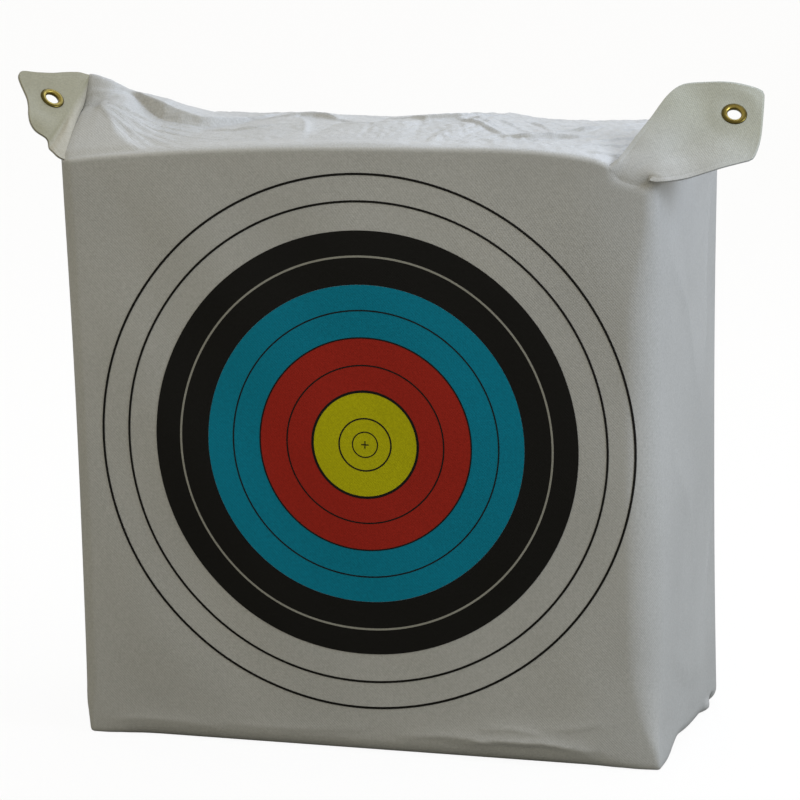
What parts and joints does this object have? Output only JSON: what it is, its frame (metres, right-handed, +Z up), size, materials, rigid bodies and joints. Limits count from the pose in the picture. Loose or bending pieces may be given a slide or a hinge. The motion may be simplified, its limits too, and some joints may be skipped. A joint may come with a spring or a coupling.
{
  "type": "archery target bag",
  "caption": "Stuffed woven bag target that stands on its own or hangs by its corner eyelets, with a printed ten-zone face to stop field arrows.",
  "frame": {"origin": "middle of the flat base, on the ground", "axes": "+Z up, -Y out of the printed face, +X to the right of someone facing the face"},
  "size_m": [0.8311, 0.3104, 0.7509],
  "materials": {
    "cloth": "glossy woven sheeting",
    "liner": "matt woven sheeting",
    "fill": "pressed loose fibre",
    "ink_gold": "printed ink",
    "ink_red": "printed ink",
    "ink_blue": "printed ink",
    "ink_black": "printed ink",
    "brass": "polished"
  },
  "bodies": {
    "bag": {"front_panel": "cloth", "back_panel": "cloth", "left_side_panel": "cloth", "right_side_panel": "cloth", "top_panel": "cloth", "bottom_panel": "cloth", "inner_sack": "liner", "fill_layer_1": "fill", "fill_layer_2": "fill", "fill_layer_3": "fill", "fill_layer_4": "fill", "fill_layer_5": "fill", "fill_layer_6": "fill", "printed_gold": "ink_gold", "printed_red": "ink_red", "printed_blue": "ink_blue", "printed_black": "ink_black", "printed_line_9": "ink_black", "printed_line_10": "ink_black"},
    "left_ear": {"left_ear_front_ply": "cloth", "left_ear_back_ply": "cloth", "left_eyelet": "brass", "left_eyelet_washer": "brass"},
    "right_ear": {"right_ear_front_ply": "cloth", "right_ear_back_ply": "cloth", "right_eyelet": "brass", "right_eyelet_washer": "brass"}
  },
  "joints": [
    {"name": "left_ear_fold", "type": "hinge", "parent": "bag", "child": "left_ear", "pos_m": [-0.33771, -0.14506, 0.65432], "axis": [-0.0701, 0.8447, 0.5306], "range_deg": [-30, 75]},
    {"name": "right_ear_fold", "type": "hinge", "parent": "bag", "child": "right_ear", "pos_m": [0.27423, -0.14766, 0.67046], "axis": [0.9544, -0.0203, -0.2978], "range_deg": [-10, 90]}
  ]
}
